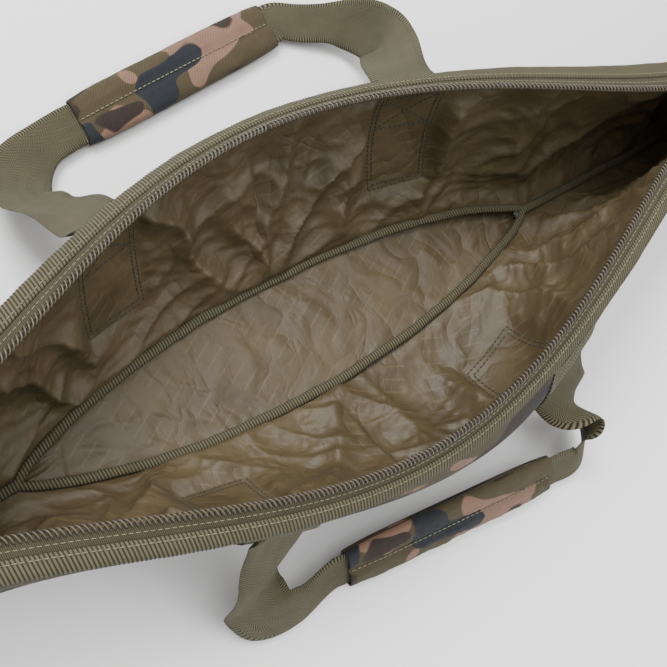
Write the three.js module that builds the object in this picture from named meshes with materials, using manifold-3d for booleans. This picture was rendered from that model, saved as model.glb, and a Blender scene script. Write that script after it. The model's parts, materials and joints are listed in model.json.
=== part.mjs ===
// Soft camouflage rod case, opened over its reel bay.
// Millimetres, +X along the case towards the rod tips, +Z up, origin under the mouth on the floor.
import * as THREE from 'three';
import { mergeVertices } from 'three/addons/utils/BufferGeometryUtils.js';
import Module from 'manifold-3d';

const wasm = await Module();
wasm.setup();

// ---- driving dimensions ----
const GAP = 0.3;                 // between touching pieces
const OPEN_ANGLE = 46;           // degrees that each mouth wall is folded out at rest
const SIDE_SHARE = 0.48;         // share of that fold in the panels beside the mouth
const HINGE_Y = 43;              // half-width of the reel gusset, where the walls fold
const HINGE_Z = 3;
const LEAN = 11.4;               // degrees that a closed wall leans inwards
const WALL_HEIGHT = 121;         // along the wall, from its fold to its top edge
const MID_END = 133;             // half-length of the fully opened walls
const SIDE_END = 310;            // where the closed sleeves begin
const BUTT_END = -516;
const TIP_END = 930;
const LINING = 0.8;
const FOAM = 4.2;
const SHELL = 1.2;
const TAPE = 0.8;
const WEBBING_WIDTH = 42;
const WEBBING = 2;
const ANCHOR_X = 110;            // handle ends, each side of the mouth's centre
const COIL_INNER = 0.7;          // half of the slot between the two closed coils
const COIL_OUTER = 6;
const COIL_LOW = 122.4;
const COIL_HIGH = 127;
const TAPE_LOW = 124.3;
const TAPE_START = 22;
const SLIDER_REST = 350;
const CAP = 4.7;

const rad = THREE.MathUtils.degToRad;
const model = new THREE.Group();

const MATERIALS = {
  camo: { color: 0x5a5138, roughness: 0.85, metalness: 0 },
  foam: { color: 0x3a3a36, roughness: 0.95, metalness: 0 },
  lining: { color: 0x4a4430, roughness: 0.5, metalness: 0 },
  webbing: { color: 0x4b4a36, roughness: 0.85, metalness: 0 },
  tape: { color: 0x3f3d2c, roughness: 0.9, metalness: 0 },
  coil: { color: 0x3a3428, roughness: 0.45, metalness: 0 },
  metal: { color: 0x2c2d2c, roughness: 0.35, metalness: 1 },
};

function addMesh(parent, name, geometry, material) {
  const mesh = new THREE.Mesh(geometry, new THREE.MeshStandardMaterial(MATERIALS[material]));
  mesh.name = name;
  parent.add(mesh);
  return mesh;
}

// ---- solids made from cross-sections ----

// A closed skin over a row of sections with equal numbers of points; each point is [x, y, z].
function skin(rings) {
  const flat = (section) => section.map(([, y, z]) => new THREE.Vector2(y, z));
  const clockwise = THREE.ShapeUtils.isClockWise(flat(rings[0]));
  const sections = clockwise ? rings.map((section) => [...section].reverse()) : rings;
  const count = sections[0].length;
  const outline = flat(sections[0]);
  const faces = THREE.ShapeUtils.triangulateShape(outline, []);
  const triangles = [];
  const last = (sections.length - 1) * count;
  for (const [a, b, c] of faces) {
    triangles.push(a, c, b, last + a, last + b, last + c);
  }
  for (let ring = 0; ring < sections.length - 1; ring += 1) {
    for (let i = 0; i < count; i += 1) {
      const a = ring * count + i;
      const b = ring * count + ((i + 1) % count);
      // Parallel layers split their twisted faces the same way: from the lower corner to the upper.
      const rising = sections[ring][i][2] <= sections[ring][(i + 1) % count][2];
      const pair = rising
        ? [a, b, b + count, a, b + count, a + count]
        : [a, b, a + count, b, b + count, a + count];
      triangles.push(...pair);
    }
  }
  const geometry = new THREE.BufferGeometry();
  geometry.setAttribute('position', new THREE.Float32BufferAttribute(sections.flat(2), 3));
  geometry.setIndex(triangles);
  return faceOut(geometry);
}

function volume(geometry) {
  const position = geometry.getAttribute('position');
  const corners = [0, 1, 2].map(() => new THREE.Vector3());
  let total = 0;
  for (let i = 0; i < geometry.index.count; i += 3) {
    corners.forEach((corner, k) => corner.fromBufferAttribute(position, geometry.index.getX(i + k)));
    total += corners[0].dot(corners[1].cross(corners[2]));
  }
  return total;
}

function faceOut(geometry) {
  if (volume(geometry) < 0) {
    const index = geometry.index.array;
    for (let i = 0; i < index.length; i += 3) {
      [index[i], index[i + 1]] = [index[i + 1], index[i]];
    }
  }
  return geometry;
}

// A straight piece with a (y, z) outline at each end; side -1 is near and +1 is far.
function prism(side, startX, endX, outline, endOutline = outline) {
  const place = (x, points) => points.map(([y, z]) => [x, side * y, z]);
  return skin([place(startX, outline), place(endX, endOutline)]);
}

// The closed outline between two offsets of an open (y, z) line; positive is to its left.
function band(line, inner, outer) {
  const points = line.map(([y, z]) => new THREE.Vector2(y, z));
  const normal = (i) => {
    const along = points[i + 1].clone().sub(points[i]).normalize();
    return new THREE.Vector2(-along.y, along.x);
  };
  const offset = (distance) => points.map((point, i) => {
    const before = normal(Math.max(i - 1, 0));
    const after = normal(Math.min(i, points.length - 2));
    const miter = before.clone().add(after).normalize();
    return point.clone().addScaledVector(miter, distance / miter.dot(before)).toArray();
  });
  return [...offset(inner), ...offset(outer).reverse()];
}

function box(sizeX, sizeY, sizeZ, x, y, z) {
  return new THREE.BoxGeometry(sizeX, sizeY, sizeZ).translate(x, y, z);
}

function toManifold(geometry) {
  const bare = geometry.clone();
  bare.deleteAttribute('normal');
  bare.deleteAttribute('uv');
  const merged = mergeVertices(bare);
  return new wasm.Manifold(new wasm.Mesh({
    numProp: 3,
    vertProperties: new Float32Array(merged.getAttribute('position').array),
    triVerts: new Uint32Array(merged.index.array),
  }));
}

function fromManifold(solid) {
  const mesh = solid.getMesh();
  const geometry = new THREE.BufferGeometry();
  geometry.setAttribute('position', new THREE.Float32BufferAttribute(mesh.vertProperties, 3));
  geometry.setIndex(Array.from(mesh.triVerts));
  return geometry;
}

function unite(...geometries) {
  return fromManifold(geometries.map(toManifold).reduce((sum, piece) => sum.add(piece)));
}

function cut(geometry, ...holes) {
  const solid = holes.map(toManifold).reduce((rest, hole) => rest.subtract(hole), toManifold(geometry));
  return fromManifold(solid);
}

// ---- the closed wall, in its own (distance up the wall, distance outwards) measures ----
const leanSine = Math.sin(rad(LEAN));
const leanCosine = Math.cos(rad(LEAN));

// Returns a (y, z) point with y counted inwards as negative on the near side's mirror.
function onWall(up, out) {
  return [HINGE_Y - up * leanSine + out * leanCosine, HINGE_Z + up * leanCosine + out * leanSine];
}

function wallSlab(low, high, inside, outside) {
  return [onWall(low, inside), onWall(high, inside), onWall(high, outside), onWall(low, outside)];
}

const LINING_IN = -3.2;
const FOAM_IN = LINING_IN + LINING + GAP;
const SHELL_IN = FOAM_IN + FOAM + GAP;
const SHELL_OUT = SHELL_IN + SHELL;
const ANCHOR_IN = SHELL_OUT + GAP;
const ANCHOR_OUT = ANCHOR_IN + WEBBING;
const BINDING_IN = ANCHOR_OUT + GAP;
const BINDING_OUT = BINDING_IN + 1;
const BINDING_LOW = WALL_HEIGHT - 11.5;
const BINDING_TOP = WALL_HEIGHT + 1.5;
const WALL_FOOT = 2;

const tapeOutline = (inner) => [
  [inner, TAPE_LOW], [TAPE_START, TAPE_LOW], [TAPE_START, TAPE_LOW + TAPE], [inner, TAPE_LOW + TAPE],
];
const coilOutline = [
  [COIL_INNER, COIL_LOW + 1], [COIL_INNER + 1, COIL_LOW], [COIL_OUTER, COIL_LOW],
  [COIL_OUTER, COIL_HIGH], [COIL_INNER + 1, COIL_HIGH], [COIL_INNER, COIL_HIGH - 1],
];
const zipOutline = [
  [COIL_INNER, COIL_LOW + 1], [COIL_INNER + 1, COIL_LOW], [COIL_OUTER, COIL_LOW],
  [COIL_OUTER, TAPE_LOW], [TAPE_START, TAPE_LOW], [TAPE_START, TAPE_LOW + TAPE],
  [COIL_OUTER, TAPE_LOW + TAPE], [COIL_OUTER, COIL_HIGH], [COIL_INNER + 1, COIL_HIGH],
  [COIL_INNER, COIL_HIGH - 1],
];
// The fabric edge folded over the wall's top: outer leg, top and inner leg.
const bindingOutline = [
  onWall(BINDING_LOW, BINDING_OUT), onWall(BINDING_TOP, BINDING_OUT),
  onWall(BINDING_TOP, LINING_IN - 1.3), onWall(BINDING_LOW, LINING_IN - 1.3),
  onWall(BINDING_LOW, LINING_IN - GAP), onWall(WALL_HEIGHT + 0.4, LINING_IN - GAP),
  onWall(WALL_HEIGHT + 0.4, BINDING_IN), onWall(BINDING_LOW, BINDING_IN),
];

// A group whose closed pieces are turned out about the fold line by a share of the open angle.
function foldedGroup(side, share) {
  const pivot = new THREE.Group();
  pivot.position.set(0, side * HINGE_Y, HINGE_Z);
  pivot.rotation.x = -side * rad(OPEN_ANGLE * share);
  const pieces = new THREE.Group();
  pieces.position.set(0, -side * HINGE_Y, -HINGE_Z);
  pivot.add(pieces);
  model.add(pivot);
  return pieces;
}

const SIDES = [['near', -1], ['far', 1]];
const ENDS = [['butt', -1], ['tip', 1]];

// ---- mouth walls ----
for (const [name, side] of SIDES) {
  const wall = foldedGroup(side, 1);
  const across = (outline) => prism(side, -MID_END, MID_END, outline);
  const layer = (inside, thickness) => across(wallSlab(WALL_FOOT, WALL_HEIGHT, inside, inside + thickness));
  addMesh(wall, `${name}_wall_lining`, layer(LINING_IN, LINING), 'lining');
  addMesh(wall, `${name}_wall_foam`, layer(FOAM_IN, FOAM), 'foam');
  addMesh(wall, `${name}_wall_shell`, across(wallSlab(WALL_FOOT, WALL_HEIGHT, SHELL_IN, SHELL_OUT)), 'camo');
  addMesh(wall, `${name}_mouth_binding`, across(bindingOutline), 'webbing');
  addMesh(wall, `${name}_mouth_zip_tape`, across(tapeOutline(COIL_OUTER + GAP)), 'tape');
  addMesh(wall, `${name}_mouth_zip_coil`, across(coilOutline), 'coil');
  for (const [end, toward] of ENDS) {
    const middle = toward * ANCHOR_X;
    const anchor = prism(side, middle - WEBBING_WIDTH / 2, middle + WEBBING_WIDTH / 2,
      wallSlab(WALL_HEIGHT - 50, WALL_HEIGHT, ANCHOR_IN, ANCHOR_OUT));
    addMesh(wall, `${name}_handle_anchor_${end}`, anchor, 'webbing');
  }
}

// ---- panels beside the mouth, which follow its walls by a share ----
const SLEEVE_FOOT = 13;          // how far the walls' feet come in towards the sleeves
for (const [name, side] of SIDES) {
  for (const [end, toward] of ENDS) {
    const panel = foldedGroup(side, SIDE_SHARE);
    const startX = toward * (MID_END + 2 * GAP);
    const endX = toward * (SIDE_END - 2 * GAP);
    const wide = wallSlab(WALL_FOOT, WALL_HEIGHT, LINING_IN, SHELL_OUT);
    const narrow = wide.map(([y, z], i) => (i === 0 || i === 3 ? [y - SLEEVE_FOOT, z] : [y, z]));
    addMesh(panel, `${name}_${end}_gore`, prism(side, startX, endX, wide, narrow), 'camo');
    addMesh(panel, `${name}_${end}_gore_zip`, prism(side, startX, endX, zipOutline), 'tape');
  }
}

// ---- closed sleeves to the butt end and the tip end ----
const SLEEVE_TOP = onWall(WALL_HEIGHT, FOAM_IN)[0] + 0.2;
const sleeveLine = (width) => [[0.6, 7.4], [width - 7, 7.4], [width, 36], [SLEEVE_TOP, WALL_HEIGHT]];
const SLEEVE_WIDTH = { butt: [30, 26], tip: [30, 21] };
for (const [end, toward] of ENDS) {
  const startX = toward * SIDE_END;
  const endX = toward < 0 ? BUTT_END : TIP_END;
  const [wide, narrow] = SLEEVE_WIDTH[end];
  for (const [name, side] of SIDES) {
    const layer = (inner, outer) => prism(side, startX, endX,
      band(sleeveLine(wide), inner, outer), band(sleeveLine(narrow), inner, outer));
    addMesh(model, `${name}_${end}_sleeve`, layer(-6.6, -1.1), 'camo');
    addMesh(model, `${name}_${end}_sleeve_lining`, layer(-0.8, 0), 'lining');
    addMesh(model, `${name}_${end}_zip`, prism(side, startX, endX, zipOutline), 'tape');
  }
  const half = narrow + 6.5;
  const capOutline = [
    [-half + 7, 0.8], [half - 7, 0.8], [half, 36], [TAPE_START + 1, WALL_HEIGHT],
    [TAPE_START - 3, COIL_HIGH], [3 - TAPE_START, COIL_HIGH], [-1 - TAPE_START, WALL_HEIGHT], [-half, 36],
  ];
  const panel = prism(1, endX + toward * GAP, endX + toward * (GAP + CAP), capOutline);
  addMesh(model, `${end}_end_panel`, panel, 'camo');
}

// ---- reel gusset in the floor of the mouth ----
const LENS_HALF = 38;
const LENS_TIP = 24;
function lens(inset, low, high) {
  const end = SIDE_END - 2 * GAP;
  const outline = [
    [-end, LENS_TIP], [-MID_END, LENS_HALF], [MID_END, LENS_HALF], [end, LENS_TIP],
    [end, -LENS_TIP], [MID_END, -LENS_HALF], [-MID_END, -LENS_HALF], [-end, -LENS_TIP],
  ].map(([x, y]) => new THREE.Vector2(x, y - Math.sign(y) * inset));
  const plate = new THREE.ExtrudeGeometry(
    new THREE.Shape(outline), { depth: high - low, bevelEnabled: false },
  );
  return fromManifold(toManifold(plate.translate(0, 0, low)));
}
addMesh(model, 'reel_gusset_shell', lens(0, 0, 1.2), 'camo');
addMesh(model, 'reel_gusset_foam', lens(0.5, 1.5, 4.5), 'foam');
addMesh(model, 'reel_gusset_lining', lens(0.5, 4.8, 5.6), 'lining');

// ---- bound seams inside ----
for (const [name, side] of SIDES) {
  const section = (x, y) => (
    [[y, 5.9], [y - 4, 5.9], [y - 4, 8.4], [y, 8.4]].map(([out, up]) => [x, side * out, up])
  );
  const end = SIDE_END - 2;
  const seam = skin([
    section(-end, LENS_TIP - 2), section(-MID_END, LENS_HALF - 2),
    section(MID_END, LENS_HALF - 2), section(end, LENS_TIP - 2),
  ]);
  addMesh(model, `${name}_gusset_seam_binding`, seam, 'webbing');
}
for (const [end, toward] of ENDS) {
  const startX = toward * (SIDE_END + 4);
  const endX = (toward < 0 ? BUTT_END : TIP_END) - toward * 4;
  const seam = [[-2, 7.8], [2, 7.8], [2, 12], [-2, 12]];
  addMesh(model, `${end}_seam_binding`, prism(1, startX, endX, seam), 'webbing');
}

// ---- carry handles, lying on the floor each side ----
// Each grip's middle, its outward drift along x, and how far its inner edge is tipped up.
const GRIPS = {
  near: { x: 20, y: 157, z: 19.4, halfLength: 79, slope: 0.15, tilt: rad(50) },
  far: { x: 20, y: 200, z: 7.4, halfLength: 79, slope: 0.11, tilt: 0 },
};
const GRIP_WIDTH = 38;
const GRIP_HEIGHT = 13;
const GATHERED_WIDTH = 29;       // webbing inside a grip

function openWallPoint(up, out) {
  const [y, z] = onWall(up, out);
  const turn = rad(OPEN_ANGLE);
  const dy = y - HINGE_Y;
  const dz = z - HINGE_Z;
  return [
    HINGE_Y + dy * Math.cos(turn) + dz * Math.sin(turn),
    HINGE_Z + dz * Math.cos(turn) - dy * Math.sin(turn),
  ];
}
const HANDLE_UP = WALL_HEIGHT - 6;
const HANDLE_OUT = BINDING_OUT + 3.5;
const HANDLE_PIVOT = openWallPoint(HANDLE_UP, HANDLE_OUT);

// The webbing between the wall and each end of the grip, on the near or far side.
const LEGS = {
  near: {
    butt: [[-111, 122, 72], [-115, 121, 46], [-116, 120, 24], [-102, 138, 17]],
    tip: [[111, 122, 72], [122, 131, 44], [128, 148, 25], [122, 164, 19]],
  },
  far: {
    butt: [[-112, 122, 74], [-120, 140, 46], [-118, 164, 22], [-96, 183, 10]],
    tip: [[112, 123, 76], [128, 136, 60], [146, 156, 40], [148, 182, 20], [128, 202, 10]],
  },
};

// The strap's middle line from its butt-side end to its tip-side end.
function strapPoints(name, side) {
  const grip = GRIPS[name];
  const [topY, topZ] = HANDLE_PIVOT;
  const leg = (end, toward) => [
    [toward * ANCHOR_X, topY, topZ],
    ...LEGS[name][end],
    ...[grip.halfLength + 9, grip.halfLength, grip.halfLength * 0.6].map((reach) => [
      grip.x + toward * reach, grip.y + toward * reach * grip.slope, grip.z]),
  ];
  const points = [...leg('butt', -1), ...leg('tip', 1).reverse()];
  return points.map(([x, y, z]) => new THREE.Vector3(x, side * y, z));
}

function strap(name, side) {
  const { tilt } = GRIPS[name];
  const route = new THREE.CatmullRomCurve3(strapPoints(name, side), false, 'centripetal');
  const steps = 48;
  const sections = [];
  for (let i = 0; i <= steps; i += 1) {
    const t = i / steps;
    const centre = route.getPointAt(t);
    const tangent = route.getTangentAt(t);
    const fromEnd = Math.min(t, 1 - t) * 2;
    const turn = THREE.MathUtils.smoothstep(fromEnd, 0.16, 0.5) * Math.PI / 2;
    const tip = tilt * Math.sin(turn) + rad(40) * Math.sin(2 * turn);
    const toward = t < 0.5 ? 1 : -1;
    const width = new THREE.Vector3(toward * Math.cos(turn), -side * Math.sin(turn) * Math.cos(tip),
      Math.sin(turn) * Math.sin(tip));
    width.addScaledVector(tangent, -width.dot(tangent)).normalize();
    const thick = new THREE.Vector3().crossVectors(tangent, width).normalize();
    const gather = THREE.MathUtils.smoothstep(fromEnd, 0.36, 0.58);
    const half = THREE.MathUtils.lerp(WEBBING_WIDTH, GATHERED_WIDTH, gather) / 2;
    const corner = (w, h) => centre.clone()
      .addScaledVector(width, w * half).addScaledVector(thick, h * WEBBING / 2).toArray();
    sections.push([corner(-1, -1), corner(1, -1), corner(1, 1), corner(-1, 1)]);
  }
  return sections;
}

// Sections may face any way here, so the ends are closed by two triangles each.
function ribbon(sections) {
  const positions = sections.flat(2);
  const triangles = [0, 2, 1, 0, 3, 2];
  const last = (sections.length - 1) * 4;
  triangles.push(last, last + 1, last + 2, last, last + 2, last + 3);
  for (let ring = 0; ring < sections.length - 1; ring += 1) {
    for (let i = 0; i < 4; i += 1) {
      const a = ring * 4 + i;
      const b = ring * 4 + ((i + 1) % 4);
      triangles.push(a, b, b + 4, a, b + 4, a + 4);
    }
  }
  const geometry = new THREE.BufferGeometry();
  geometry.setAttribute('position', new THREE.Float32BufferAttribute(positions, 3));
  geometry.setIndex(triangles);
  return faceOut(geometry);
}

function sleeveTube(length, width, height, holeWidth, holeHeight) {
  const rim = (w, h, round) => {
    const shape = new THREE.Shape();
    shape.moveTo(-w + round, -h);
    for (const [x, y] of [[w - round, -h], [w, -h + round], [w, h - round], [w - round, h],
      [-w + round, h], [-w, h - round], [-w, -h + round]]) {
      shape.lineTo(x, y);
    }
    return shape;
  };
  const outline = rim(width / 2, height / 2, height * 0.3);
  outline.holes.push(rim(holeWidth / 2, holeHeight / 2, holeHeight * 0.3));
  const tube = new THREE.ExtrudeGeometry(outline, { depth: length, bevelEnabled: false });
  tube.translate(0, 0, -length / 2).rotateX(Math.PI / 2).rotateZ(Math.PI / 2);
  return fromManifold(toManifold(tube));
}

for (const [name, side] of SIDES) {
  const grip = GRIPS[name];
  const webbing = ribbon(strap(name, side));
  const length = 2 * grip.halfLength;
  const cover = sleeveTube(length, GRIP_WIDTH, GRIP_HEIGHT, GRIP_WIDTH - 3, GRIP_HEIGHT - 3);
  const slot = sleeveTube(length - 4, GRIP_WIDTH - 3.6, GRIP_HEIGHT - 3.6, GATHERED_WIDTH + 2, WEBBING + 3);
  const place = (geometry) => geometry.rotateX(-side * grip.tilt).rotateZ(side * Math.atan(grip.slope))
    .translate(grip.x, side * grip.y, grip.z);
  addMesh(model, `${name}_handle_webbing`, webbing, 'webbing');
  addMesh(model, `${name}_handle_grip_cover`, place(cover), 'camo');
  addMesh(model, `${name}_handle_grip_pad`, place(slot), 'foam');
}

// ---- sliders and pullers ----
const SLIDER_LENGTH = 24;
const PLATE_TOP = COIL_HIGH + 2;
function slider() {
  const plates = unite(
    box(SLIDER_LENGTH, 15, 1.6, 0, 0, COIL_HIGH + 1.2),
    box(SLIDER_LENGTH, 15, 1.6, 0, 0, COIL_LOW - 1.2),
    box(8, 0.8, COIL_HIGH - COIL_LOW + 4, 0, 0, (COIL_HIGH + COIL_LOW) / 2),
    box(13, 4, 6.2, 0, 0, PLATE_TOP + 2.6),
  );
  return cut(plates, box(6, 6, 3.6, 0, 0, PLATE_TOP + 2.3));
}
function puller(toward) {
  const arm = (y) => box(13, 2, 1.6, toward * 5.6, y, PLATE_TOP + 2.1);
  return unite(
    box(1.8, 9, 1.6, 0, 0, PLATE_TOP + 2.1),
    arm(-3.6), arm(3.6),
    box(24, 9.2, 1.6, toward * 23, 0, PLATE_TOP + 2.1),
  );
}
for (const [end, toward] of ENDS) {
  addMesh(model, `${end}_zip_slider`, slider().translate(toward * SLIDER_REST, 0, 0), 'metal');
  addMesh(model, `${end}_zip_puller`, puller(toward).translate(toward * SLIDER_REST, 0, 0), 'metal');
}

// ---- D-rings on webbing tabs at the ends ----
const RING_Z = 96;
const RING_OUT = 7.2;
for (const [end, toward] of ENDS) {
  const face = (toward < 0 ? BUTT_END : TIP_END) + toward * (GAP + CAP + GAP);
  const x = face + toward * RING_OUT;
  const tab = cut(
    unite(box(9.6, 22, 9.6, x, 0, RING_Z), box(1.8, 22, 34, face + toward * 0.9, 0, RING_Z),
      box(3.2, 22, 2, face + toward * 1.6, 0, RING_Z)),
    box(6, 24, 6, x, 0, RING_Z),
  );
  addMesh(model, `${end}_ring_tab`, tab, 'webbing');
  const outline = new THREE.Shape();
  outline.absarc(0, -12, 17.5, Math.PI, 2 * Math.PI, false);
  outline.lineTo(17.5, 1.7);
  outline.lineTo(-17.5, 1.7);
  const eye = new THREE.Path();
  eye.absarc(0, -12, 14, Math.PI, 2 * Math.PI, false);
  eye.lineTo(14, -1.7);
  eye.lineTo(-14, -1.7);
  outline.holes.push(eye);
  const ring = new THREE.ExtrudeGeometry(outline, { depth: 3.4, bevelEnabled: false, curveSegments: 12 });
  ring.translate(0, 0, -1.7).rotateX(Math.PI / 2).rotateZ(Math.PI / 2).translate(x, 0, RING_Z);
  addMesh(model, `${end}_d_ring`, fromManifold(toManifold(ring)), 'metal');
}

export default model;
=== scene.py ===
# Soft camouflage rod case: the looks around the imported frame.
# Lengths are millimetres until a mesh is made.
import json
import math

import bpy
import numpy as np
from mathutils import Matrix, Vector


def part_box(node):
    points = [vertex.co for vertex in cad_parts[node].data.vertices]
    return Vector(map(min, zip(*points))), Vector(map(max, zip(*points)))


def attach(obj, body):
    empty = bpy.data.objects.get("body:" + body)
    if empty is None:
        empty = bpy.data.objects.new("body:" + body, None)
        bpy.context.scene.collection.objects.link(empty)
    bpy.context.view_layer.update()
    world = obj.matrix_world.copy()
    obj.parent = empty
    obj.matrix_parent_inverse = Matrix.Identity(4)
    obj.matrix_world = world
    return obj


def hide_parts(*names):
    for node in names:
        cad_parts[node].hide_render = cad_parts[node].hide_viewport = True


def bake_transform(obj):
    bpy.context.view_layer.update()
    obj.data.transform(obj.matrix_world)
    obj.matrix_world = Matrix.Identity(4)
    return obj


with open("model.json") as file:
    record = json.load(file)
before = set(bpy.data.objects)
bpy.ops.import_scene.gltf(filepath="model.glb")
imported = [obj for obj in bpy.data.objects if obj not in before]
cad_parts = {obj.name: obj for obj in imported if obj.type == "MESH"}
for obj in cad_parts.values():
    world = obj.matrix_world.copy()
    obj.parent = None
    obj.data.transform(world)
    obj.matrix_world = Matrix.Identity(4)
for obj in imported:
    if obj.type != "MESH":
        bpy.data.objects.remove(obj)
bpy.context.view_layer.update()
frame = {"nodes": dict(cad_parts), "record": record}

MM = 0.001
SIDES = (("near", -1), ("far", 1))
ENDS = (("butt", -1), ("tip", 1))


def joint(name):
    return next(j for j in frame["record"]["behaviour"]["joints"] if j["name"] == name)


def node_box(name):
    """A CAD node's lowest and highest corners in millimetres."""
    low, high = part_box(name)
    return np.array(low) / MM, np.array(high) / MM


# ---- driving dimensions, from the frame ----
FOLD = math.radians(joint("far_wall_fold")["range_deg"][1])
HINGE_Y, HINGE_Z = (value / MM for value in joint("far_wall_fold")["pos_m"][1:])
BUTT_X = node_box("near_butt_sleeve")[0][0]
TIP_X = node_box("near_tip_sleeve")[1][0]
SLIDER_HALF = 12
MOUTH_HALF = node_box("tip_zip_slider")[0][0] + SLIDER_HALF
FLAT_HALF = 0           # half of the stretch where the walls are folded out fully
ANCHOR_X = sum(corner[0] for corner in node_box("near_handle_anchor_tip")) / 2
WEBBING_WIDTH = np.ptp([corner[0] for corner in node_box("near_handle_anchor_tip")])
EDGE_Y, EDGE_Z = 21.0, 123.3     # a closed wall's top edge
COIL_Y, COIL_Z = 3.3, 124.7      # a closed coil's middle
LENS_HALF_WIDTH, LENS_HALF_LENGTH = 40.0, 205.0
LENS_MARGIN = 0.6       # from the middle to each foot where the lens has ended
FOOT_Z = 4.0
WALL_RUN = 120          # roughly how far a wall runs from its foot to its top edge
# How far each wall bulges outwards beside the reel, where along x, and how far the bulge runs.
BELLY = {-1: 88.0, 1: 10.0}
BELLY_X, BELLY_REACH = 70, 120
PADDING = 3.0           # from the wall's middle to its shell or lining
COIL_PITCH = 2.6
RIB_PITCH = 2.0


def ease(t):
    t = np.clip(t, 0, 1)
    return t * t * (3 - 2 * t)


# ---- smooth seeded noise ----
ANGLES = np.random.default_rng(11).random((256, 256)) * 2 * math.pi


def ripple(u, v):
    """Gradient noise, about -1 to 1."""
    u, v = np.broadcast_arrays(np.asarray(u, float), np.asarray(v, float))
    i, j = np.floor(u).astype(int), np.floor(v).astype(int)
    a, b = u - i, v - j

    def corner(di, dj):
        angle = ANGLES[(i + di) % 256, (j + dj) % 256]
        return np.cos(angle) * (a - di) + np.sin(angle) * (b - dj)

    s, t = (w * w * w * (w * (w * 6 - 15) + 10) for w in (a, b))
    low = corner(0, 0) * (1 - s) + corner(1, 0) * s
    high = corner(0, 1) * (1 - s) + corner(1, 1) * s
    return (low * (1 - t) + high * t) * 1.5


def creases(u, v):
    """Round-backed folds with sharp valleys, 0 to 1."""
    return np.clip(1 - np.abs(ripple(u, v)) * 1.6, 0, 1) ** 2


# ---- the soft body: a closed shape, folded open about the hinge lines ----
def opening(x):
    return ease((MOUTH_HALF - np.abs(x)) / (MOUTH_HALF - FLAT_HALF))


def lens(x):
    inside = np.clip(1 - (x / LENS_HALF_LENGTH) ** 2, 0, 1)
    return LENS_HALF_WIDTH * inside ** 0.8 + LENS_MARGIN


def sleeve_half(x):
    """The closed sleeve's half-width, narrower towards the rod tips."""
    return np.interp(x, [BUTT_X, -250, 250, TIP_X], [29.0, 33.0, 33.0, 25.0])


def bezier(v, start, leave, arrive, end):
    """A cubic curve's places and slopes at v."""
    w = 1 - v
    place = start * w ** 3 + 3 * leave * v * w ** 2 + 3 * arrive * v * v * w + end * v ** 3
    slope = 3 * ((leave - start) * w ** 2 + 2 * (arrive - leave) * v * w + (end - arrive) * v * v)
    return place, slope


def wall_point(x, v, out, side):
    """Closed wall: x along, v from the floor seam (0) to the top edge (1), out in half-thicknesses."""
    share = (lens(x) - LENS_MARGIN) / LENS_HALF_WIDTH
    half = sleeve_half(x)
    belly = BELLY[side] * np.exp(-((x - BELLY_X) / BELLY_REACH) ** 2)
    low_y = share * (50 + 0.35 * belly) + (1 - share) * half * 1.5
    high_y = share * (44 + belly) + (1 - share) * half * 1.05
    y, dy = bezier(v, lens(x), low_y, high_y, EDGE_Y)
    z, dz = bezier(v, FOOT_Z, FOOT_Z + share * 22, 86.0, EDGE_Z)
    length = np.hypot(dy, dz)
    taper = ease(v / 0.08) * (1 - 0.75 * ease((v - 0.9) / 0.1)) * PADDING
    lift = 0.3 * np.clip(HINGE_Y - lens(x), 0, None) * np.sin(opening(x) * FOLD) * (1 - v) ** 3
    sway = 2.2 * np.sin(np.pi * v) * ripple(x / 85 + 3, v * 1.4)
    offset = out * taper + sway
    y = y + offset * dz / length
    z = z - offset * dy / length - lift
    return np.stack(np.broadcast_arrays(x, np.maximum(y, 0.4), z), axis=-1)


def fold_open(points, side):
    """Closed points (y outwards) to the row frame at rest."""
    x, y, z = np.moveaxis(points, -1, 0)
    turn = opening(x) * FOLD
    up, out = z - HINGE_Z, y - HINGE_Y
    y = HINGE_Y + out * np.cos(turn) + up * np.sin(turn)
    z = HINGE_Z + up * np.cos(turn) - out * np.sin(turn)
    return np.stack([x, side * y, z], axis=-1)


# ---- mesh making ----
def make_object(name, points, faces, uv, material):
    mesh = bpy.data.meshes.new(name)
    mesh.from_pydata((points * MM).tolist(), [], faces)
    mesh.update()
    layer = mesh.uv_layers.new(name="cloth")
    corners = np.zeros(len(mesh.loops), int)
    mesh.loops.foreach_get("vertex_index", corners)
    layer.data.foreach_set("uv", (np.asarray(uv)[corners] * MM).astype(np.float32).ravel())
    mesh.polygons.foreach_set("use_smooth", [True] * len(mesh.polygons))
    mesh.materials.append(material)
    piece = bpy.data.objects.new(name, mesh)
    bpy.context.scene.collection.objects.link(piece)
    return piece


def grid_faces(rows, columns, start=0, wrap=False, flip=False):
    faces = []
    for i in range(rows - 1):
        for j in range(columns if wrap else columns - 1):
            a = start + i * columns + j
            b = start + i * columns + (j + 1) % columns
            quad = (a, b, b + columns, a + columns)
            faces.append(quad[::-1] if flip else quad)
    return faces


def grid_normals(points):
    along = np.gradient(points, axis=0)
    across = np.gradient(points, axis=1)
    normals = np.cross(across, along)
    return normals / np.maximum(np.linalg.norm(normals, axis=-1, keepdims=True), 1e-9)


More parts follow.
